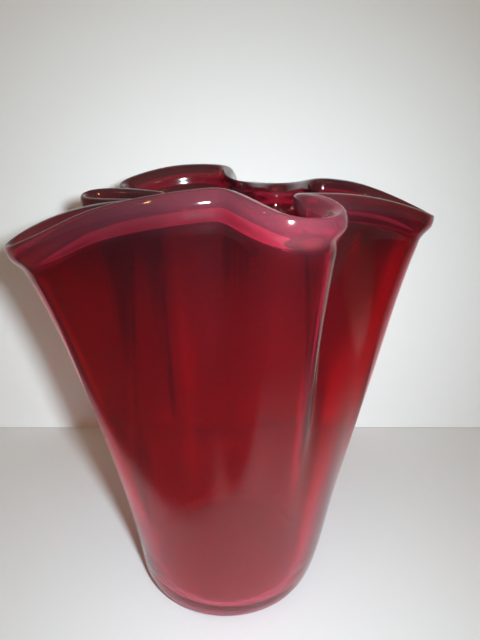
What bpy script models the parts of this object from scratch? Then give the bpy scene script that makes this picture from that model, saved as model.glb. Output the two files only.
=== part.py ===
"""Handkerchief vase: one piece of blown ruby glass.

A round, thick foot opens into a wall that folds into six lobes, like a cloth hung
over a stick, and ends in a thick fire-polished lip. The vase stands on the ground
plane with its axis on Z, and its front is towards -Y. Lengths are in metres.
"""

import math

import bmesh
import bpy
import numpy as np

# Foot and the round body that opens out of it, a little further on its right
FOOT_RADIUS = 0.0485
FOOT_ROUNDING = 0.007
BODY_SPREAD = 0.018
BODY_CURVE = 0.56
BODY_LEAN = 0.5

# Thickness of the glass
WALL = 0.0046
LIP_WALL = 0.0070
FLOOR_THICKNESS = 0.011
FLOOR_CORNER = 0.004
CORNER_THICKNESS = 0.0095

# Size of the lip's guide line over its lobes, which the finished lip stays a little inside, and its height
GUIDE_WIDTH = 0.2237
GUIDE_DEPTH = 0.1874
VASE_HEIGHT = 0.229

# Where the folds start, how slowly they and the lobes come in, and how far the lip turns out
FOLD_START = 0.018
FOLD_CURVE = 2.5
LOBE_CURVE = 1.25
LIP_FLARE = 0.012
LIP_CURVE = 13.0
FOOT_EVENNESS = 0.7

# Shares of the wall's height over which the floor's corner thins out and the lip thickens
CORNER_REACH = 0.2
CORNER_FADE = 0.35
LIP_REACH = 0.25

# The middle of the lip, lobe by lobe: across, back, and drop below the highest point
LIP_GUIDE = (
    # left fold
    (-0.045, 0.017, 0.0145),
    (-0.045, 0.009, 0.0145),
    # front left lobe
    (-0.064, 0.006, 0.0155),
    (-0.083, 0.008, 0.0205),
    (-0.099, 0.001, 0.0280),
    (-0.104, -0.015, 0.0340),
    (-0.093, -0.033, 0.0305),
    (-0.070, -0.046, 0.0210),
    (-0.053, -0.057, 0.0120),
    (-0.0342, -0.0630, 0.0064),
    (-0.0252, -0.0660, 0.0054),
    (-0.0162, -0.0685, 0.0043),
    (-0.0090, -0.0685, 0.0032),
    (-0.0039, -0.0655, 0.0024),
    # front fold
    (0.0011, -0.0625, 0.0020),
    # front right lobe
    (0.0058, -0.0655, 0.0028),
    (0.0101, -0.0735, 0.0052),
    (0.0154, -0.0805, 0.0082),
    (0.0225, -0.0845, 0.0109),
    (0.0296, -0.0835, 0.0114),
    (0.038, -0.079, 0.0120),
    (0.049, -0.066, 0.0122),
    (0.043, -0.051, 0.0060),
    # deep fold
    (0.029, -0.038, 0.0070),
    (0.045, -0.030, 0.0075),
    # right lobe
    (0.067, -0.012, 0.0100),
    (0.090, 0.003, 0.0160),
    (0.109, 0.013, 0.0230),
    (0.113, 0.026, 0.0250),
    (0.105, 0.041, 0.0200),
    (0.092, 0.051, 0.0140),
    (0.074, 0.054, 0.0080),
    # right back fold
    (0.050, 0.036, 0.0052),
    # back right lobe
    (0.047, 0.069, 0.0090),
    (0.032, 0.084, 0.0120),
    (0.019, 0.074, 0.0100),
    # back fold
    (0.010, 0.048, 0.0080),
    (0.002, 0.048, 0.0070),
    # back left lobe
    (0.001, 0.072, 0.0030),
    (0.002, 0.089, 0.0000),
    (-0.022, 0.096, 0.0000),
    (-0.042, 0.092, 0.0010),
    (-0.058, 0.082, 0.0065),
    (-0.070, 0.069, 0.0115),
    (-0.053, 0.057, 0.0135),
    # left back fold
    (-0.036, 0.047, 0.0130),
    (-0.034, 0.037, 0.0130),
    # small left lobe
    (-0.058, 0.041, 0.0103),
    (-0.080, 0.046, 0.0122),
    (-0.081, 0.034, 0.0152),
    (-0.066, 0.024, 0.0155),
)

# The cage: columns round the wall, closer where the lip turns, and rings up it, closer near the lip
COLUMNS = 48
TURN_WEIGHT = 0.6
RINGS = 8
RING_SPACING = 1.35
UNDERSIDE_RINGS = (0.45, 0.75)
FOOT_CORNER = (0.1, 0.2)
LEVELS = 1

# How finely the lip's line is drawn between two guide points, and how far it is evened out
GUIDE_STEPS = 40
LINE_WINDOW = 41
COLUMN_WINDOW = 161
FOOT_WINDOW = 211


def lerp(a, b, share):
    return a + (b - a) * share


def closed_spline(points, steps):
    """A smooth closed line through the points, with this many steps between each two."""
    shares = np.linspace(0.0, 1.0, steps, endpoint=False)[:, None]
    runs = []
    for i in range(len(points)):
        before, start, end, after = (points[(i + k) % len(points)] for k in (-1, 0, 1, 2))
        gap_before = math.sqrt(np.linalg.norm(start - before))
        gap = math.sqrt(np.linalg.norm(end - start))
        gap_after = math.sqrt(np.linalg.norm(after - end))
        leave = (start - before) / gap_before - (end - before) / (gap_before + gap) + (end - start) / gap
        reach = (end - start) / gap - (after - start) / (gap + gap_after) + (after - end) / gap_after
        leave = leave * gap
        reach = reach * gap
        cubic = 2.0 * (start - end) + leave + reach
        square = 3.0 * (end - start) - 2.0 * leave - reach
        runs.append(start + leave * shares + square * shares**2 + cubic * shares**3)
    return np.concatenate(runs)


def smoothed(values, window):
    """A closed run of values, each the mean of its neighbours under a raised-cosine window."""
    weights = 1.0 - np.cos(np.linspace(0.0, 2.0 * math.pi, window + 2)[1:-1])
    weights /= weights.sum()
    return sum(w * np.roll(values, k - window // 2, axis=0) for k, w in enumerate(weights))


def lip_columns():
    """The lip's middle and its foot bearing at each column, closer together where the lip turns."""
    guide = np.array(LIP_GUIDE) * (1.0, 1.0, -1.0) + (0.0, 0.0, VASE_HEIGHT - LIP_WALL / 2)
    line = smoothed(closed_spline(guide, GUIDE_STEPS), LINE_WINDOW)
    span = np.array((GUIDE_WIDTH, GUIDE_DEPTH)) - LIP_WALL
    line[:, :2] *= span / np.ptp(line[:, :2], axis=0)
    steps = np.linalg.norm(np.roll(line, -1, axis=0) - line, axis=1)
    arc = np.concatenate(([0.0], np.cumsum(steps)))
    bearing = np.unwrap(np.arctan2(line[:, 1], line[:, 0]))
    onward = np.clip(np.diff(np.append(bearing, bearing[0] + 2.0 * math.pi)), 0.0, None)
    onward = smoothed(onward / onward.sum() + FOOT_EVENNESS * steps / arc[-1], FOOT_WINDOW)
    foot = np.concatenate(([0.0], np.cumsum(onward))) / onward.sum() * 2.0 * math.pi
    foot += np.mean(bearing - foot[:-1])

    ahead = np.roll(line, -1, axis=0) - line
    heading = np.unwrap(np.arctan2(ahead[:, 1], ahead[:, 0]))
    turn = np.abs(np.diff(np.concatenate((heading, [heading[0] + 2.0 * math.pi]))))
    pace = smoothed(steps / arc[-1] + TURN_WEIGHT * turn / turn.sum(), COLUMN_WINDOW)
    place = np.concatenate(([0.0], np.cumsum(pace)))
    wanted = np.arange(COLUMNS) / COLUMNS * place[-1]
    index = np.interp(wanted, place, np.arange(len(line) + 1))
    looped = np.vstack((line, line[:1]))
    where = np.arange(len(line) + 1)
    middle = np.stack([np.interp(index, where, looped[:, k]) for k in range(3)], axis=1)
    return middle, np.interp(index, where, foot)


def outward(line):
    """The level direction that faces out of a closed line at each of its points."""
    ahead = np.roll(line, -1, axis=0) - np.roll(line, 1, axis=0)
    sides = np.stack((ahead[:, 1], -ahead[:, 0]), axis=1)
    return sides / np.linalg.norm(sides, axis=1)[:, None]


def ring(lip, bearings, share):
    """The wall's outer line at a share of the way up from the foot to the lip."""
    heights = lerp(FLOOR_THICKNESS + FLOOR_CORNER, lip[:, 2], share)
    spread = BODY_SPREAD * (1.0 + BODY_LEAN * np.cos(bearings))
    body = FOOT_RADIUS + spread * (heights / VASE_HEIGHT) ** BODY_CURVE
    circle = np.stack((np.cos(bearings), np.sin(bearings)), axis=1) * body[:, None]
    reach = np.linalg.norm(lip[:, :2], axis=1)
    lobe = (reach - reach.min()) / (reach.max() - reach.min())
    folded = lip[:, :2] * (1.0 - LIP_FLARE * lobe / reach)[:, None]
    rise = np.clip((heights - FOLD_START) / (lip[:, 2] - FOLD_START), 0.0, 1.0)[:, None]
    curve = lerp(FOLD_CURVE, LOBE_CURVE, lobe)[:, None]
    level = lerp(circle, folded, rise**curve) + (lip[:, :2] - folded) * share**LIP_CURVE
    return np.column_stack((level, heights))


def glass():
    """Deep ruby glass with a fire-polished surface."""
    material = bpy.data.materials.new("ruby_glass")
    material.use_nodes = True
    shader = material.node_tree.nodes["Principled BSDF"]
    shader.inputs["Base Color"].default_value = (0.42, 0.004, 0.012, 1.0)
    shader.inputs["Roughness"].default_value = 0.03
    shader.inputs["IOR"].default_value = 1.5
    shader.inputs["Transmission Weight"].default_value = 1.0
    return material


def outer_rings():
    """Every ring of the outer surface, from the middle of the underside to the lip."""
    middle, bearings = lip_columns()
    lip = middle.copy()
    lip[:, :2] += outward(middle) * LIP_WALL / 2
    lip[:, 2] += LIP_WALL / 2
    circle = np.column_stack((np.cos(bearings), np.sin(bearings), np.zeros(COLUMNS)))
    flat = FOOT_RADIUS - FOOT_ROUNDING
    rings = [circle * flat * share for share in UNDERSIDE_RINGS]
    out, up = FOOT_CORNER
    rings.append(circle * (FOOT_RADIUS + FOOT_ROUNDING * out) + (0.0, 0.0, FOOT_ROUNDING * up))
    for i in range(RINGS + 1):
        rings.append(ring(lip, bearings, 1.0 - (1.0 - i / RINGS) ** RING_SPACING))
    return rings


def thickness_at(i):
    """Thickness of the glass at a ring: the floor, the corner, then the wall up to the lip."""
    corner = len(UNDERSIDE_RINGS)
    if i < corner:
        return FLOOR_THICKNESS
    if i == corner:
        return CORNER_THICKNESS
    rise = (i - corner - 1) / RINGS
    if rise < CORNER_REACH:
        return lerp(WALL, CORNER_THICKNESS, CORNER_FADE * (1.0 - rise / CORNER_REACH))
    return lerp(WALL, LIP_WALL, max(0.0, 1.0 - (1.0 - rise) / LIP_REACH))


def vase(collection):
    """The blown body: a disc drawn up ring by ring, given its thickness, then smoothed all over."""
    rings = outer_rings()
    mesh = bmesh.new()
    start = bmesh.ops.create_circle(mesh, cap_ends=True, cap_tris=True, segments=COLUMNS, radius=FOOT_RADIUS)
    verts = [v for v in start["verts"] if v.co.length > FOOT_RADIUS / 2]
    verts.sort(key=lambda v: math.atan2(v.co.y, v.co.x) % (2.0 * math.pi))
    centre = next(v for v in start["verts"] if v not in verts)
    group = {centre: 1.0}
    for i, points in enumerate(rings):
        if i:
            edges = [mesh.edges.get((verts[k - 1], verts[k])) for k in range(COLUMNS)]
            made = bmesh.ops.extrude_edge_only(mesh, edges=edges)["geom"]
            new = {v for v in made if isinstance(v, bmesh.types.BMVert)}
            verts = [next(e.other_vert(v) for e in v.link_edges if e.other_vert(v) in new) for v in verts]
        for v, point in zip(verts, points):
            v.co = point
            group[v] = thickness_at(i) / FLOOR_THICKNESS
    bmesh.ops.recalc_face_normals(mesh, faces=mesh.faces)
    if sum((f.normal.z for f in centre.link_faces)) > 0.0:
        bmesh.ops.reverse_faces(mesh, faces=mesh.faces)
    mesh.verts.index_update()
    shares = {v.index: share for v, share in group.items()}
    data = bpy.data.meshes.new("vase")
    mesh.to_mesh(data)
    mesh.free()

    body = bpy.data.objects.new("vase", data)
    collection.objects.link(body)
    body.data.materials.append(glass())
    thickness = body.vertex_groups.new(name="thickness")
    for index, share in shares.items():
        thickness.add([index], share, "REPLACE")

    shell = body.modifiers.new("Glass thickness", "SOLIDIFY")
    shell.thickness = FLOOR_THICKNESS
    shell.offset = -1.0
    shell.vertex_group = thickness.name
    smooth = body.modifiers.new("Smooth, fire-polished glass", "SUBSURF")
    smooth.levels = LEVELS
    smooth.render_levels = LEVELS
    data.shade_smooth()
    return body


def main():
    for obj in list(bpy.data.objects):
        bpy.data.objects.remove(obj, do_unlink=True)
    collection = bpy.data.collections.new("Handkerchief vase")
    bpy.context.scene.collection.children.link(collection)
    vase(collection)


main()
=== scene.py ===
# %% [markdown]
# # A handkerchief vase in ruby glass
#
# This lesson models one piece of blown glass: a vase whose wall was let down over itself while it was
# soft, so that it hangs in folds like a handkerchief. It has no joints and no second material, so
# all of the work is in the line of the lip, in the thickness of the glass and in the light.
#
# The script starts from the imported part, so that the vase keeps its place, its scale and its size.

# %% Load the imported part
import math

import bpy
import numpy as np
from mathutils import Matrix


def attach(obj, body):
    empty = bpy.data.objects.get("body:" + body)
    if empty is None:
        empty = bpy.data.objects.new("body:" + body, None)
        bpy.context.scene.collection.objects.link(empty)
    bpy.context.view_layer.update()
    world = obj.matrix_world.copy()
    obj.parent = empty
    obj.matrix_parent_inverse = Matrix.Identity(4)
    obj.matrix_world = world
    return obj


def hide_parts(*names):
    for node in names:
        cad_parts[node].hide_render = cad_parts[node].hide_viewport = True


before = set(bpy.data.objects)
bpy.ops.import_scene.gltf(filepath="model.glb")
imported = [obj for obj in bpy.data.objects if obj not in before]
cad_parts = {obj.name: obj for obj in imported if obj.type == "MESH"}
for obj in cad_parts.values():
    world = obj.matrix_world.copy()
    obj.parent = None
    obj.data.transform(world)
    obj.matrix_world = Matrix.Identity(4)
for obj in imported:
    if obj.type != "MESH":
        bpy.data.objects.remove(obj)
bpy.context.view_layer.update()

# %% [markdown]
# ## The sizes
#
# A few lengths say almost everything about the vase. They are in metres and written once, so that a
# taller vase or a thicker lip is one change. The foot of such a vase is thick and heavy, the wall thins
# as it is drawn up, and the lip is thick again because a flame melted it round.

# %% Sizes
FOOT_RADIUS = 0.0485
FOOT_ROUNDING = 0.004
VASE_HEIGHT = 0.229
WALL = 0.0046
LIP_WALL = 0.0090
LIP_OUT = 0.0040
FLOOR_THICKNESS = 0.011
CORNER_THICKNESS = 0.0095
BODY_START = 0.015
print("Foot", FOOT_RADIUS * 2000, "mm across, vase", VASE_HEIGHT * 1000, "mm tall")

# %% [markdown]
# ## The line of the lip
#
# Seen from above, the lip is one closed line that swings out into lobes and back into folds. It is easier
# to draw that line first and hang the wall from it than to push folds into a finished wall. Each row below
# is one guide point: how far across, how far back, and how far below the highest point of the lip.

# %% Guide points of the lip
LIP_GUIDE = (
    # left fold
    (-0.045, 0.017, 0.0145),
    (-0.045, 0.009, 0.0145),
    # front left lobe
    (-0.064, 0.006, 0.0155),
    (-0.083, 0.008, 0.0205),
    (-0.099, 0.001, 0.0280),
    (-0.104, -0.015, 0.0340),
    (-0.093, -0.033, 0.0305),
    (-0.070, -0.046, 0.0210),
    (-0.053, -0.057, 0.0120),
    (-0.0342, -0.0630, 0.0064),
    (-0.0252, -0.0660, 0.0054),
    (-0.0162, -0.0685, 0.0043),
    (-0.0090, -0.0685, 0.0032),
    (-0.0039, -0.0655, 0.0024),
    # front fold
    (0.0011, -0.0625, 0.0020),
    # front right lobe
    (0.0058, -0.0655, 0.0028),
    (0.0101, -0.0735, 0.0052),
    (0.0154, -0.0805, 0.0082),
    (0.0225, -0.0845, 0.0109),
    (0.0296, -0.0835, 0.0114),
    (0.038, -0.079, 0.0120),
    (0.049, -0.066, 0.0122),
    (0.043, -0.051, 0.0060),
    # deep fold
    (0.029, -0.038, 0.0070),
    (0.045, -0.030, 0.0075),
    # right lobe
    (0.067, -0.012, 0.0100),
    (0.090, 0.003, 0.0160),
    (0.109, 0.013, 0.0230),
    (0.113, 0.026, 0.0250),
    (0.105, 0.041, 0.0200),
    (0.092, 0.051, 0.0140),
    (0.074, 0.054, 0.0080),
    # right back fold
    (0.050, 0.036, 0.0052),
    # back right lobe
    (0.047, 0.069, 0.0090),
    (0.032, 0.084, 0.0120),
    (0.019, 0.074, 0.0100),
    # back fold
    (0.010, 0.048, 0.0080),
    (0.002, 0.048, 0.0070),
    # back left lobe
    (0.001, 0.072, 0.0030),
    (0.002, 0.089, 0.0000),
    (-0.022, 0.096, 0.0000),
    (-0.042, 0.092, 0.0010),
    (-0.058, 0.082, 0.0065),
    (-0.070, 0.069, 0.0115),
    (-0.053, 0.057, 0.0135),
    # left back fold
    (-0.036, 0.047, 0.0130),
    (-0.034, 0.037, 0.0130),
    # small left lobe
    (-0.058, 0.041, 0.0103),
    (-0.080, 0.046, 0.0122),
    (-0.081, 0.034, 0.0152),
    (-0.066, 0.024, 0.0155),
)
print("The lip has", len(LIP_GUIDE), "guide points")

# %% [markdown]
# The guide points are only a skeleton. A spline draws the line through them, and a short rolling mean then
# takes out any kink, as heat does in the real glass. The spline leaves more room where two points lie far
# apart, which keeps it from looping at the tight ends of the folds.

# %% Draw a smooth closed line through the guide points
GUIDE_STEPS = 40
LINE_WINDOW = 41


def closed_spline(points, steps):
    """A smooth closed line through the points, with this many steps between each two."""
    shares = np.linspace(0.0, 1.0, steps, endpoint=False)[:, None]
    runs = []
    for i in range(len(points)):
        before, start, end, after = (points[(i + k) % len(points)] for k in (-1, 0, 1, 2))
        gap_before = math.sqrt(np.linalg.norm(start - before))
        gap = math.sqrt(np.linalg.norm(end - start))
        gap_after = math.sqrt(np.linalg.norm(after - end))
        leave = (start - before) / gap_before - (end - before) / (gap_before + gap) + (end - start) / gap
        reach = (end - start) / gap - (after - start) / (gap + gap_after) + (after - end) / gap_after
        leave = leave * gap
        reach = reach * gap
        cubic = 2.0 * (start - end) + leave + reach
        square = 3.0 * (end - start) - 2.0 * leave - reach
        runs.append(start + leave * shares + square * shares**2 + cubic * shares**3)
    return np.concatenate(runs)


def smoothed(values, window):
    """A closed run of values, each the mean of its neighbours under a raised-cosine window."""
    weights = 1.0 - np.cos(np.linspace(0.0, 2.0 * math.pi, window + 2)[1:-1])
    weights /= weights.sum()
    return sum(w * np.roll(values, k - window // 2, axis=0) for k, w in enumerate(weights))


guide = np.array(LIP_GUIDE) * (1.0, 1.0, -1.0) + (0.0, 0.0, VASE_HEIGHT)
lip_line = smoothed(closed_spline(guide, GUIDE_STEPS), LINE_WINDOW)
lip_steps = np.linalg.norm(np.roll(lip_line, -1, axis=0) - lip_line, axis=1)
print("The lip is", round(lip_steps.sum() * 1000), "mm round")

# %% [markdown]
# ## Columns of glass
#
# The lip is more than twice as long as the foot is round, so every strip of the wall fans out as it rises.
# Each column of vertices joins one place on the foot to one place on the lip. The columns stand closer
# where the lip turns sharply, because that is where the eye sees the corners of a mesh.

# %% Spread the columns along the lip and round the foot
COLUMNS = 48
TURN_WEIGHT = 0.6
COLUMN_WINDOW = 161
FOOT_WINDOW = 211
FOOT_EVENNESS = 0.7


def cumulative(values):
    """The running total of the values, starting from zero."""
    return np.concatenate(([0.0], np.cumsum(values)))


turn_of_line = np.unwrap(np.arctan2(lip_line[:, 1], lip_line[:, 0]))
onward = np.clip(np.diff(np.append(turn_of_line, turn_of_line[0] + 2.0 * math.pi)), 0.0, None)
onward = smoothed(onward / onward.sum() + FOOT_EVENNESS * lip_steps / lip_steps.sum(), FOOT_WINDOW)
foot_turn = cumulative(onward) / onward.sum() * 2.0 * math.pi
foot_turn += np.mean(turn_of_line - foot_turn[:-1])

ahead = np.roll(lip_line, -1, axis=0) - lip_line
heading = np.unwrap(np.arctan2(ahead[:, 1], ahead[:, 0]))
bend = np.abs(np.diff(np.append(heading, heading[0] + 2.0 * math.pi)))
pace = smoothed(lip_steps / lip_steps.sum() + TURN_WEIGHT * bend / bend.sum(), COLUMN_WINDOW)
place = cumulative(pace)
stations = np.arange(len(lip_line) + 1)
index = np.interp(np.arange(COLUMNS) / COLUMNS * place[-1], place, stations)
closed_line = np.vstack((lip_line, lip_line[:1]))
lip = np.stack([np.interp(index, stations, closed_line[:, k]) for k in range(3)], axis=1)
bearings = np.interp(index, stations, foot_turn)
along = np.roll(lip, -1, axis=0) - np.roll(lip, 1, axis=0)
outward = np.stack((along[:, 1], -along[:, 0]), axis=1)
outward /= np.linalg.norm(outward, axis=1)[:, None]
print("Columns:", COLUMNS)

# %% [markdown]
# ## From the round foot to the folded lip
#
# At the foot the wall is round. From just above the floor it begins to follow the lip. The lobes come in
# early and lean out all the way up. The folds come in late, so that low down they are only soft dents, and
# near the lip they are deep creases. In its last centimetre or so the wall turns out.
#
# One function gives a whole ring at any share of the way up, so the ring heights can be chosen later.

# %% The wall at any share of its height
BODY_SPREAD = 0.018
BODY_CURVE = 0.56
BODY_LEAN = 0.5
FOLD_START = 0.018
FOLD_CURVE = 2.5
LOBE_CURVE = 1.25
LIP_FLARE = 0.012
LIP_CURVE = 13.0

edge = lip.copy()
edge[:, :2] += outward * LIP_OUT
reach_out = np.linalg.norm(edge[:, :2], axis=1)
lobe = (reach_out - reach_out.min()) / (reach_out.max() - reach_out.min())


def lerp(a, b, share):
    """The value this share of the way from a to b."""
    return a + (b - a) * share


def wall_line(share):
    """The outer line of the wall, one point for each column, at a share of the way up."""
    heights = lerp(BODY_START, edge[:, 2], share)
    spread = BODY_SPREAD * (1.0 + BODY_LEAN * np.cos(bearings))
    body = FOOT_RADIUS + spread * (heights / VASE_HEIGHT) ** BODY_CURVE
    circle = np.stack((np.cos(bearings), np.sin(bearings)), axis=1) * body[:, None]
    folded = edge[:, :2] * (1.0 - LIP_FLARE * lobe / reach_out)[:, None]
    rise = np.clip((heights - FOLD_START) / (edge[:, 2] - FOLD_START), 0.0, 1.0)
    level = lerp(circle, folded, (rise ** lerp(FOLD_CURVE, LOBE_CURVE, lobe))[:, None])
    level = level + (edge[:, :2] - folded) * (share**LIP_CURVE)[:, None]
    return np.column_stack((level, heights))


print("The wall leans out by up to", round((reach_out.max() - FOOT_RADIUS) * 1000), "mm")

# %% [markdown]
# The fire that rounds the lip also makes it swell: the glass draws back into a roll that is thicker than
# the wall below. It is fuller on the front right lobe, where the lip hung lowest. The rings of the mesh lie
# close together there, so that the roll can be shaped later.

# %% Rings up the wall, close together at the lip
CORNER_OUT = 0.1
CORNER_UP = 0.2
CORNER_SHARE = 0.35
SWELL_DEPTH = 0.0062
SWELL_REACH = 0.0045
SWELL_PLAIN = 0.80
SWELL_BEARING = math.radians(-65.0)
SWELL_SPAN = math.radians(28.0)
ROLL_RINGS = (0.0220, 0.0170, 0.0145, 0.0122, 0.0100, 0.0080, 0.0062, 0.0044)
WALL_RINGS = 9
UNDERSIDE_RINGS = (0.45, 0.75)

off_swell = (bearings - SWELL_BEARING + math.pi) % (2.0 * math.pi) - math.pi
swell_round = lerp(SWELL_PLAIN, 1.0, np.exp(-((off_swell / SWELL_SPAN) ** 2)))


def swell_share(below):
    """How much the glass has swelled at a depth below the lip's edge, from 0 to 1."""
    return math.exp(-(max(0.0, (below - SWELL_DEPTH) / SWELL_REACH) ** 2))


flat = FOOT_RADIUS - FOOT_ROUNDING
circle = np.column_stack((np.cos(bearings), np.sin(bearings), np.zeros(COLUMNS)))
rings = []
thickness = []
for share in UNDERSIDE_RINGS:
    rings.append(circle * flat * share)
    thickness.append(np.full(COLUMNS, FLOOR_THICKNESS))
corner = circle * (FOOT_RADIUS + FOOT_ROUNDING * CORNER_OUT)
rings.append(corner + (0.0, 0.0, FOOT_ROUNDING * CORNER_UP))
thickness.append(np.full(COLUMNS, CORNER_THICKNESS))

wall_height = edge[:, 2] - BODY_START
for i in range(WALL_RINGS):
    share = np.full(COLUMNS, i / WALL_RINGS)
    share = share * (1.0 - ROLL_RINGS[0] / wall_height)
    rings.append(wall_line(share))
    corner_share = max(0.0, CORNER_SHARE - i / WALL_RINGS)
    thickness.append(np.full(COLUMNS, lerp(WALL, CORNER_THICKNESS, corner_share)))
for below in ROLL_RINGS + (0.0,):
    rings.append(wall_line(1.0 - below / wall_height))
    thickness.append(lerp(WALL, LIP_WALL, swell_share(below) * swell_round))
print("Rings:", len(rings))

# %% [markdown]
# ## Draw the cup up, ring by ring
#
# A glassblower gathers a disc of glass and draws the wall up from it, and the mesh is made the same way. It
# starts as a flat circle, filled like a pie. Extruding its rim again and again makes a plain tube of
# rings. After each step the new rim is the selection, so its vertices can be noted for that ring.

# %% Extrude the plain cup
for obj in list(bpy.context.selected_objects):
    obj.select_set(False)
bpy.ops.mesh.primitive_circle_add(vertices=COLUMNS, radius=flat * UNDERSIDE_RINGS[0], fill_type="TRIFAN")
vase = bpy.context.object
vase.name = "vase_glass"
mesh = vase.data

ring_members = []
bpy.ops.object.mode_set(mode="EDIT")
bpy.ops.mesh.select_all(action="SELECT")
bpy.ops.mesh.region_to_loop()
for i in range(len(rings)):
    if i:
        step = {"value": (0.0, 0.0, VASE_HEIGHT / len(rings))}
        bpy.ops.mesh.extrude_edges_move(TRANSFORM_OT_translate=step)
    bpy.ops.object.mode_set(mode="OBJECT")
    ring_members.append([v.index for v in mesh.vertices if v.select])
    bpy.ops.object.mode_set(mode="EDIT")
bpy.ops.object.mode_set(mode="OBJECT")
print("The plain cup has", len(mesh.polygons), "faces")

# %% [markdown]
# ## Let the folds fall
#
# Now the plain tube takes its shape. Every vertex knows its ring from the step above, and its column from
# its bearing on the tube, so each one moves to the point that was worked out for it. The same pass
# stores how thick the glass is there, as a vertex group that the next step reads. The normals are set
# right while the vase is still a skin, because Solidify goes by them.

# %% Move the vertices to the folded wall
UNDERSIDE_TOP = 0.001

group = vase.vertex_groups.new(name="thickness")
group.add([v.index for v in mesh.vertices], 1.0, "REPLACE")
columns_of = {}
for members, ring, thick in zip(ring_members, rings, thickness):
    for index in members:
        vertex = mesh.vertices[index]
        turned = math.atan2(vertex.co.y, vertex.co.x) / (2.0 * math.pi)
        column = round(turned * COLUMNS) % COLUMNS
        vertex.co = ring[column]
        columns_of[index] = column
        group.add([index], thick[column] / FLOOR_THICKNESS, "REPLACE")
bpy.ops.object.mode_set(mode="EDIT")
bpy.ops.mesh.select_all(action="SELECT")
bpy.ops.mesh.normals_make_consistent(inside=False)
bpy.ops.object.mode_set(mode="OBJECT")
if sum(face.normal.z for face in mesh.polygons if face.center.z < UNDERSIDE_TOP) > 0.0:
    mesh.flip_normals()
print("Folded:", [round(d * 1000) for d in vase.dimensions], "mm")

# %% [markdown]
# ## Give the glass its thickness
#
# So far the vase is a skin with no inside. Glass shows its thickness more than any other material, since
# light bends where it goes in and again where it leaves, so the skin becomes a solid shell. Solidify
# grows it inwards and leaves the outer face where it was drawn.

# %% Solidify the skin
shell = vase.modifiers.new("Glass thickness", "SOLIDIFY")
shell.thickness = FLOOR_THICKNESS
shell.offset = -1.0
shell.vertex_group = group.name
shell.use_quality_normals = True
outer_count = len(mesh.vertices)
bpy.ops.object.modifier_apply(modifier=shell.name)
print("The shell has", len(mesh.polygons), "faces")

# %% [markdown]
# Seen from the side, the lip of the real vase is a bead: it stands out a little, leans back in over the top,
# and a shallow groove parts it from the wall. Moving the top rings of the outer face in or out draws
# that profile. It comes after Solidify, which would copy every bump to the inner face. The inner face ends
# higher than the outer one, because the wall flares out and Solidify works at right angles to it. Its top
# rings come down until both ends are level. Solidify adds the inner vertices in the order of the outer ones.

# %% Shape the roll of the lip
ROLL_DEPTH = 0.0062
ROLL_SPREAD = 0.0030
ROLL_OUT = 0.0011
ROLL_IN = 0.0025
GROOVE_DEPTH = 0.0122
GROOVE_IN = 0.0010
INNER_LOWER = 0.0008
rise = np.zeros(COLUMNS)
for index in ring_members[-1]:
    rise[columns_of[index]] = mesh.vertices[outer_count + index].co.z - mesh.vertices[index].co.z
for members, below in zip(ring_members[-len(ROLL_RINGS) - 1 :], ROLL_RINGS + (0.0,)):
    bead = ROLL_OUT * math.exp(-(((below - ROLL_DEPTH) / ROLL_SPREAD) ** 2))
    groove = GROOVE_IN * math.exp(-(((below - GROOVE_DEPTH) / ROLL_SPREAD) ** 2))
    lean = ROLL_IN * max(0.0, 1.0 - below / ROLL_DEPTH) ** 2
    for index in members:
        way = outward[columns_of[index]]
        mesh.vertices[index].co.x += way[0] * (bead - groove - lean)
        mesh.vertices[index].co.y += way[1] * (bead - groove - lean)
        fall = (rise[columns_of[index]] + INNER_LOWER) * (1.0 - below / ROLL_RINGS[0])
        mesh.vertices[outer_count + index].co.z -= fall
print("The bead stands out by", round((ROLL_OUT + GROOVE_IN) * 1000.0, 1), "mm over the groove")

# %% [markdown]
# The edge of the shell is still a flat strip with two sharp corners. A bevel rounds both, which is what the
# flame does to the real lip. The strip is easy to pick out: of the faces that touch the outer lip, only
# those of the strip face up. The bevel stays under half of the strip's width, or it would cross itself.

# %% Round the lip
LIP_SEGMENTS = 4
LIP_BEVEL = 0.0018
FACES_UP = 0.7
MERGE_DISTANCE = 0.00002
bpy.ops.object.mode_set(mode="EDIT")
bpy.ops.mesh.select_all(action="DESELECT")
bpy.ops.object.mode_set(mode="OBJECT")
outer_lip = set(ring_members[-1])
for face in mesh.polygons:
    inside = [v for v in face.vertices if v in outer_lip]
    face.select = len(inside) == 2 and face.normal.z > FACES_UP
bpy.ops.object.mode_set(mode="EDIT")
bpy.ops.mesh.region_to_loop()
bpy.ops.mesh.bevel(offset=LIP_BEVEL, segments=LIP_SEGMENTS, affect="EDGES", clamp_overlap=False)
bpy.ops.mesh.select_all(action="SELECT")
bpy.ops.mesh.remove_doubles(threshold=MERGE_DISTANCE)
bpy.ops.object.mode_set(mode="OBJECT")
print("With its lip round it has", len(mesh.polygons), "faces")

# %% [markdown]
# Two levels of Subdivision Surface take the last facets out of the glass. Facets would break every
# reflection, and on glass there is nothing else to see.

# %% Smooth the glass
smooth = vase.modifiers.new("Smooth glass", "SUBSURF")
smooth.levels = 2
smooth.render_levels = 2
bpy.ops.object.modifier_apply(modifier=smooth.name)
bpy.ops.object.shade_smooth()
print("The finished vase has", len(mesh.polygons), "faces")
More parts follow.
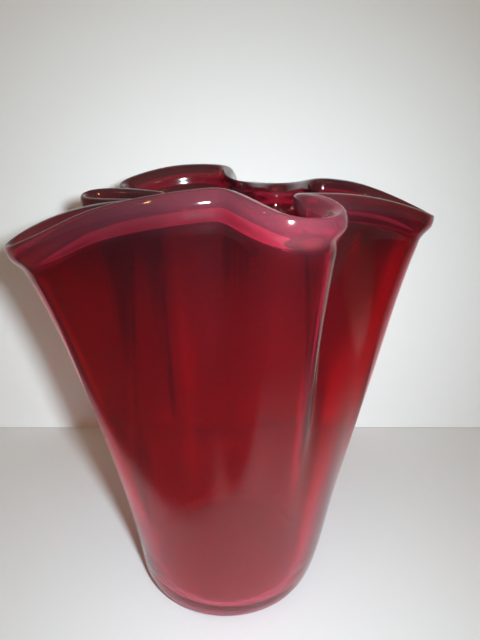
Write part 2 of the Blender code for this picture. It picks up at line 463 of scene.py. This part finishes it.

# %% [markdown]
# ## Where light is painted into the ruby
#
# Two places get a paler tint that paints in light: the front right lobe, and one bright streak beside the
# front fold. Each vertex stores how much of that painted light it has, from 0 to 1, as an attribute
# of the mesh, because neither place follows from height alone.

# %% Store where light is painted into the ruby
# Painted light: a bright streak beside the front fold, and a paler tint over the front right lobe.
STREAK_BEARING = math.radians(-103.5)
STREAK_SPAN = math.radians(3.2)
STREAK_HEIGHT = 0.60
STREAK_REACH = 0.24
LOBE_BEARING = math.radians(-67.0)
LOBE_SPAN = math.radians(20.0)
LOBE_START = 0.24
LOBE_RISE = 0.40
LOBE_PAINTED_LIGHT = 0.65

spots = np.empty(len(mesh.vertices) * 3)
mesh.vertices.foreach_get("co", spots)
spots = spots.reshape(-1, 3)
round_it = np.arctan2(spots[:, 1], spots[:, 0])
up_it = spots[:, 2] / VASE_HEIGHT
over_lobe = np.exp(-(((round_it - LOBE_BEARING) / LOBE_SPAN) ** 2))
over_lobe = over_lobe * np.clip((up_it - LOBE_START) / LOBE_RISE, 0.0, 1.0)
in_streak = np.exp(-(((round_it - STREAK_BEARING) / STREAK_SPAN) ** 2))
in_streak = in_streak * np.exp(-(((up_it - STREAK_HEIGHT) / STREAK_REACH) ** 2))
painted_light_share = mesh.attributes.new("painted_light_share", "FLOAT", "POINT")
painted_light_share.data.foreach_set("value", np.clip(LOBE_PAINTED_LIGHT * over_lobe + in_streak, 0.0, 1.0))
print("The ruby is thinnest beside the front fold, at", STREAK_HEIGHT, "of the height")

# %% [markdown]
# The roll of the lip gets a painted sheen, strongest in front and over the swell, where it looks rose rather
# than red. This attribute holds how much painted sheen each vertex has. The lip rises and falls, so the
# depth of a vertex is measured from the part of the lip that lies nearest to it, as a mean of all columns
# that counts the near ones most.

# %% Store where the lip gets a painted sheen
# Painted sheen on the lip: how deep it reaches, how soft its edge is, and how strong it is all round, in
# front and over the swell.
NEAREST_REACH = 0.006
SHEEN_DEPTH = 0.0110
SHEEN_FADE = 0.0015
FRONT_DEPTH = 0.05
SHEEN_ALL_ROUND = 0.12
SHEEN_IN_FRONT = 0.33
SHEEN_IN_SWELL = 0.55

apart = np.linalg.norm(spots[:, None, :2] - edge[None, :, :2], axis=2)
weight = np.exp(-((apart - apart.min(axis=1, keepdims=True)) / NEAREST_REACH))
weight = weight / weight.sum(axis=1, keepdims=True)
below_lip = weight @ edge[:, 2] - spots[:, 2]
in_lip = 1.0 / (1.0 + np.exp((below_lip - SHEEN_DEPTH) / SHEEN_FADE))
in_front = np.clip(-edge[:, 1] / FRONT_DEPTH, 0.0, 1.0)
in_swell = (swell_round - SWELL_PLAIN) / (1.0 - SWELL_PLAIN)
lip_sheen_strength = SHEEN_ALL_ROUND + (SHEEN_IN_FRONT + SHEEN_IN_SWELL * in_swell) * in_front
painted_lip_sheen = mesh.attributes.new("painted_lip_sheen", "FLOAT", "POINT")
painted_lip_sheen.data.foreach_set("value", np.clip(in_lip * (weight @ lip_sheen_strength), 0.0, 1.0))
print("The lip is cloudy down to", SHEEN_DEPTH * 1000.0, "mm below its edge")

# %% [markdown]
# ## A short way to write shaders
#
# A shader is a sum written in nodes, and a sum reads best as a sum. This class wraps one output of a
# node. Adding, subtracting or multiplying adds the Math node that does it, and one method makes any other
# kind of node and gives its inputs.

# %% Shader maths


class Value:
    """One output of a node, which can be added, multiplied, faded and mixed."""

    def __init__(self, tree, socket=None):
        self.tree = tree
        self.socket = socket

    def feed(self, target):
        """Link this output to an input."""
        self.tree.links.new(self.socket, target)

    def node(self, kind, inputs=None, output=0, **settings):
        """The output of a new node, whose inputs are numbers, colours or other outputs."""
        made = self.tree.nodes.new("ShaderNode" + kind)
        for name, value in settings.items():
            setattr(made, name, value)
        for key, value in (inputs or {}).items():
            if isinstance(value, Value):
                value.feed(made.inputs[key])
            else:
                made.inputs[key].default_value = value
        return Value(self.tree, made.outputs[output])

    def maths(self, operation, first, second):
        """A Math node of two values."""
        return self.node("Math", {0: first, 1: second}, operation=operation)

    def __add__(self, other):
        return self.maths("ADD", self, other)

    def __radd__(self, other):
        return self.maths("ADD", other, self)

    def __sub__(self, other):
        return self.maths("SUBTRACT", self, other)

    def __rsub__(self, other):
        return self.maths("SUBTRACT", other, self)

    def __mul__(self, other):
        return self.maths("MULTIPLY", self, other)

    def __rmul__(self, other):
        return self.maths("MULTIPLY", other, self)

    def fade(self, low, high):
        """From 0 at one value to 1 at a higher one, along a smooth curve."""
        ends = {"Value": self, "From Min": low, "From Max": high}
        return self.node("MapRange", ends, interpolation_type="SMOOTHSTEP")

    def mix(self, first, second):
        """The colour this share of the way from one to another."""
        return self.node("Mix", {0: self, 6: first, 7: second}, 2, data_type="RGBA")


print("Shader maths is ready")

# %% [markdown]
# ## Ruby glass
#
# A wall colours the light by the same amount wherever it is crossed, so the tint sits on the surface, and
# a weak Volume Absorption adds a little in the thick lip and foot. The tint runs from palest at the foot to
# deepest at the lip, and that change by height is painted light and shade: the pale foot stands for the
# glow of light inside the foot, the deep upper wall for the shade behind it. A little roughness stands
# for the waves that real blown glass has.
#
# Clear glass alone looks too clean. A small share of a Diffuse shader paints a sheen on the lip and a glow
# on the lower edge of the foot, and a trace of it all over is the film that handling leaves. Mix Shader
# takes that share.

# %% Ruby glass
# Painted light and shade by height: pale at the foot for its glow, deep near the lip for the shade behind
# it.
RUBY_BY_HEIGHT = (
    (0.00, (0.98, 0.13, 0.23, 1.0)),
    (0.20, (0.95, 0.060, 0.14, 1.0)),
    (0.45, (0.78, 0.018, 0.075, 1.0)),
    (0.75, (0.61, 0.010, 0.055, 1.0)),
    (0.97, (0.16, 0.004, 0.011, 1.0)),
)
# The paler tint of the painted light over the front right lobe and in the streak.
PAINTED_LIGHT_TINT = (0.98, 0.035, 0.11, 1.0)
ABSORBED = (0.85, 0.20, 0.35, 1.0)
DENSITY = 6.0
WAVINESS = 0.10
GLASS_IOR = 1.5
# Diffuse colour for the painted sheen on the lip, the painted glow low on the foot and the film of dust.
SHEEN_GLOW_AND_FILM = (0.50, 0.115, 0.175, 1.0)
LIP_SHEEN = 0.12
# Painted glow low on the foot: its share, and the heights over which it fades out.
FOOT_GLOW = 0.45
FOOT_GLOW_LOW = 0.025
FOOT_GLOW_HIGH = 0.06
FILM = 0.014

glass = bpy.data.materials.new("ruby_glass")
glass.use_nodes = True
surface = glass.node_tree.nodes["Principled BSDF"]
result = glass.node_tree.nodes["Material Output"]
surface.inputs["Roughness"].default_value = WAVINESS
surface.inputs["IOR"].default_value = GLASS_IOR
surface.inputs["Transmission Weight"].default_value = 1.0
start = Value(glass.node_tree)
height = start.node("SeparateXYZ", {0: start.node("TexCoord", output="Object")}, "Z") * (1.0 / VASE_HEIGHT)
tint = RUBY_BY_HEIGHT[0][1]
for (low, _), (high, colour) in zip(RUBY_BY_HEIGHT, RUBY_BY_HEIGHT[1:]):
    tint = height.fade(low, high).mix(tint, colour)
tint = start.node("Attribute", output="Fac", attribute_name=painted_light_share.name).mix(tint, PAINTED_LIGHT_TINT)
tint.feed(surface.inputs["Base Color"])
sheen_glow_and_film_shader = start.node("BsdfDiffuse", {"Color": SHEEN_GLOW_AND_FILM})
share = start.node("Attribute", output="Fac", attribute_name=painted_lip_sheen.name) * LIP_SHEEN
share = share + (1.0 - height.fade(FOOT_GLOW_LOW, FOOT_GLOW_HIGH)) * FOOT_GLOW + FILM
clear = Value(glass.node_tree, surface.outputs[0])
start.node("MixShader", {0: share, 1: clear, 2: sheen_glow_and_film_shader}).feed(result.inputs["Surface"])
inside = start.node("VolumeAbsorption", {"Color": ABSORBED, "Density": DENSITY})
inside.feed(result.inputs["Volume"])
mesh.materials.clear()
mesh.materials.append(glass)
print("Tints from the foot to the lip:", len(RUBY_BY_HEIGHT))

# %% [markdown]
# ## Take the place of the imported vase
#
# The new vase rides on the part's only body and stands in for its only node, so everything that
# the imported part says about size, place and use is still true.

# %% Attach the vase
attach(vase, "root")
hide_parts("vase")
print("Riding on the root body")

# %% [markdown]
# ## Table and wall
#
# The vase stands on a pale table, close in front of a pale wall. Both matter more than they seem to,
# because the glass shows nothing but them: the wall behind it gives the red, and the table in front of it
# gives the milky sheen low on the body. The wall is clear from behind, so the vase can be seen from there.
#
# On the real glass the sheen stops at a soft line, past which the table it mirrors was dark. Here too the
# table gets a painted shade past two soft edges, one beside the vase and one in front of it, and far away.
# Only reflections see that painted shade, by Is Glossy Ray of the Light Path node. All else sees the table's
# own colour.

# %% Table and wall
TABLE = (0.59, 0.60, 0.605, 1.0)
# DIM_TABLE is painted shade, which only reflections see.
DIM_TABLE = (0.09, 0.08, 0.075, 1.0)
WALL_PAINT = (0.755, 0.755, 0.75, 1.0)
WALL_BEHIND = 0.152
FOOT_GAP = 0.0004
EDGE_BESIDE = -0.164
EDGE_IN_FRONT = -0.030
EDGE_SOFT = 0.018
NEAR = 0.10
FAR = 0.34
TABLE_SIZE = 3.0
WALL_HEIGHT = 1.5
TABLE_ROUGHNESS = 0.6
WALL_ROUGHNESS = 0.8


def plain(name, colour, roughness):
    """A plain material of one colour."""
    material = bpy.data.materials.new(name)
    material.use_nodes = True
    shader = material.node_tree.nodes["Principled BSDF"]
    shader.inputs["Base Color"].default_value = colour
    shader.inputs["Roughness"].default_value = roughness
    return material


bpy.ops.mesh.primitive_plane_add(size=TABLE_SIZE, location=(0.0, 0.0, -FOOT_GAP))
table = bpy.context.object
table.name = "table"
cloth = plain("table_white", TABLE, TABLE_ROUGHNESS)
start = Value(cloth.node_tree)
place = start.node("TexCoord", output="Object")
across = start.node("SeparateXYZ", {0: place}, "X")
back = start.node("SeparateXYZ", {0: place}, "Y")
beside = (across + back).fade(EDGE_BESIDE - EDGE_SOFT, EDGE_BESIDE + EDGE_SOFT)
in_front = across.fade(EDGE_IN_FRONT - EDGE_SOFT, EDGE_IN_FRONT + EDGE_SOFT)
near = 1.0 - start.node("VectorMath", {0: place}, "Value", operation="LENGTH").fade(NEAR, FAR)
dim = 1.0 - start.maths("MAXIMUM", beside, in_front) * near
dim = dim * start.node("LightPath", output="Is Glossy Ray")
dim.mix(TABLE, DIM_TABLE).feed(cloth.node_tree.nodes["Principled BSDF"].inputs["Base Color"])
table.data.materials.append(cloth)

wall_place = (0.0, WALL_BEHIND, WALL_HEIGHT / 2.0)
bpy.ops.mesh.primitive_plane_add(size=TABLE_SIZE, location=wall_place, rotation=(math.pi / 2.0, 0.0, 0.0))
wall = bpy.context.object
wall.name = "wall"
wall.scale = (1.0, WALL_HEIGHT / TABLE_SIZE, 1.0)
paint = plain("wall_paint", WALL_PAINT, WALL_ROUGHNESS)
paint_nodes = paint.node_tree.nodes
start = Value(paint.node_tree)
behind = start.node("NewGeometry", output="Backfacing")
front = Value(paint.node_tree, paint_nodes["Principled BSDF"].outputs[0])
either = start.node("MixShader", {0: behind, 1: front, 2: start.node("BsdfTransparent")})
either.feed(paint_nodes["Material Output"].inputs["Surface"])
wall.data.materials.append(paint)
print("The wall stands", round(WALL_BEHIND * 1000), "mm behind the vase")

# %% [markdown]
# ## Light
#
# The vase was lit from beside the camera, so the main lamp stands there, a little to the right, and throws
# a soft shadow to the left. It is a small disc with a limited beam, which keeps it off the table right
# below it. A large, weak, warm lamp overhead fills the shadows, and reflections don't show it.

# %% Lamps
MAIN_PLACE = (0.050, -0.270, 0.262)
MAIN_AIM = (0.0, 0.0, 0.12)
MAIN_SIZE = 0.028
MAIN_WATTS = 1.07
MAIN_COLOUR = (0.83, 0.95, 1.0)
MAIN_BEAM = 116.0
OVERHEAD_PLACE = (0.0, -0.20, 1.2)
OVERHEAD_SIZE = 0.9
OVERHEAD_WATTS = 3.0
OVERHEAD_COLOUR = (1.0, 0.72, 0.48)


def lamp(name, place, aim, size, watts, colour, spread=180.0):
    """A round lamp at a place, aimed at a point, whose beam is this many degrees wide."""
    bpy.ops.object.light_add(type="AREA", location=place)
    light = bpy.context.object
    light.name = name
    light.data.shape = "DISK"
    light.data.size = size
    light.data.energy = watts
    light.data.color = colour
    light.data.spread = math.radians(spread)
    ahead = [b - a for a, b in zip(place, aim)]
    across = math.atan2(-ahead[0], ahead[1])
    down = math.atan2(math.hypot(ahead[0], ahead[1]), -ahead[2])
    light.rotation_euler = (down, 0.0, across)
    return light


lamp("main", MAIN_PLACE, MAIN_AIM, MAIN_SIZE, MAIN_WATTS, MAIN_COLOUR, MAIN_BEAM)
overhead = lamp("overhead", OVERHEAD_PLACE, (0.0, 0.0, 0.0), OVERHEAD_SIZE, OVERHEAD_WATTS, OVERHEAD_COLOUR)
overhead.visible_glossy = False
print("Main lamp beside the camera, large lamp overhead")

# %% [markdown]
# Two more lamps stand for the bulbs of the room, which the real lip shows as orange flecks. They are seen
# in reflections only and light nothing, so the glass and the table keep their colours.

# %% Lamps that only the reflections see
BULB_SIDES = (("bulb_left", -0.62), ("bulb_right", 0.50))
BULB_IN_FRONT = -0.62
BULB_HEIGHT = 0.75
BULB_AIM = (0.0, 0.0, 0.2)
BULB_SIZE = 0.05
BULB_WATTS = 0.35
BULB_COLOUR = (1.0, 0.55, 0.16)

for name, side in BULB_SIDES:
    bulb = lamp(name, (side, BULB_IN_FRONT, BULB_HEIGHT), BULB_AIM, BULB_SIZE, BULB_WATTS, BULB_COLOUR)
    bulb.visible_diffuse = False
    bulb.visible_transmission = False

# %% [markdown]
# Rays that miss everything reach the world. The camera, and rays that have gone through the glass, see it
# pale like the wall. Reflections see a room that is dim in front and brighter overhead, which draws the
# sheen along the top of the lip. The rest of the room's light is weak and warm.

# %% World
PALE_ROOM = (0.76, 0.77, 0.78, 1.0)
ROOM_LIGHT = (0.12, 0.072, 0.035, 1.0)
ROOM_FRONT = (0.16, 0.14, 0.13, 1.0)
ROOM_ABOVE = (0.34, 0.33, 0.32, 1.0)
CLIMB_START = 0.15
CLIMB_END = 0.65

world = bpy.context.scene.world or bpy.data.worlds.new("World")
bpy.context.scene.world = world
world.use_nodes = True
start = Value(world.node_tree)
climb = start.node("SeparateXYZ", {0: start.node("TexCoord", output="Generated")}, "Z")
climb = climb.fade(CLIMB_START, CLIMB_END)
seen = climb.mix(ROOM_FRONT, ROOM_ABOVE)
seen = start.node("LightPath", output="Is Glossy Ray").mix(ROOM_LIGHT, seen)
seen = start.node("LightPath", output="Is Transmission Ray").mix(seen, PALE_ROOM)
seen = start.node("LightPath", output="Is Camera Ray").mix(seen, PALE_ROOM)
seen.feed(world.node_tree.nodes["Background"].inputs["Color"])
bpy.context.scene.view_settings.view_transform = "Standard"
print("The room is dim in front and brighter overhead")

# %% [markdown]
# ## Camera
#
# The photo was taken close, from just above the lip, so the lip spreads wide and the foot looks small. The
# lens is a moderate wide angle.

# %% Camera
CAMERA_PLACE = (0.008, -0.257, 0.241)
CAMERA_DOWN = 18.8
SENSOR = 36.0
LENS = 29.1375

bpy.ops.object.camera_add(location=CAMERA_PLACE, rotation=(math.radians(90.0 - CAMERA_DOWN), 0.0, 0.0))
camera = bpy.context.object
camera.data.sensor_width = SENSOR
camera.data.lens = LENS
bpy.context.scene.camera = camera
print("Lens", round(camera.data.lens, 1), "mm")
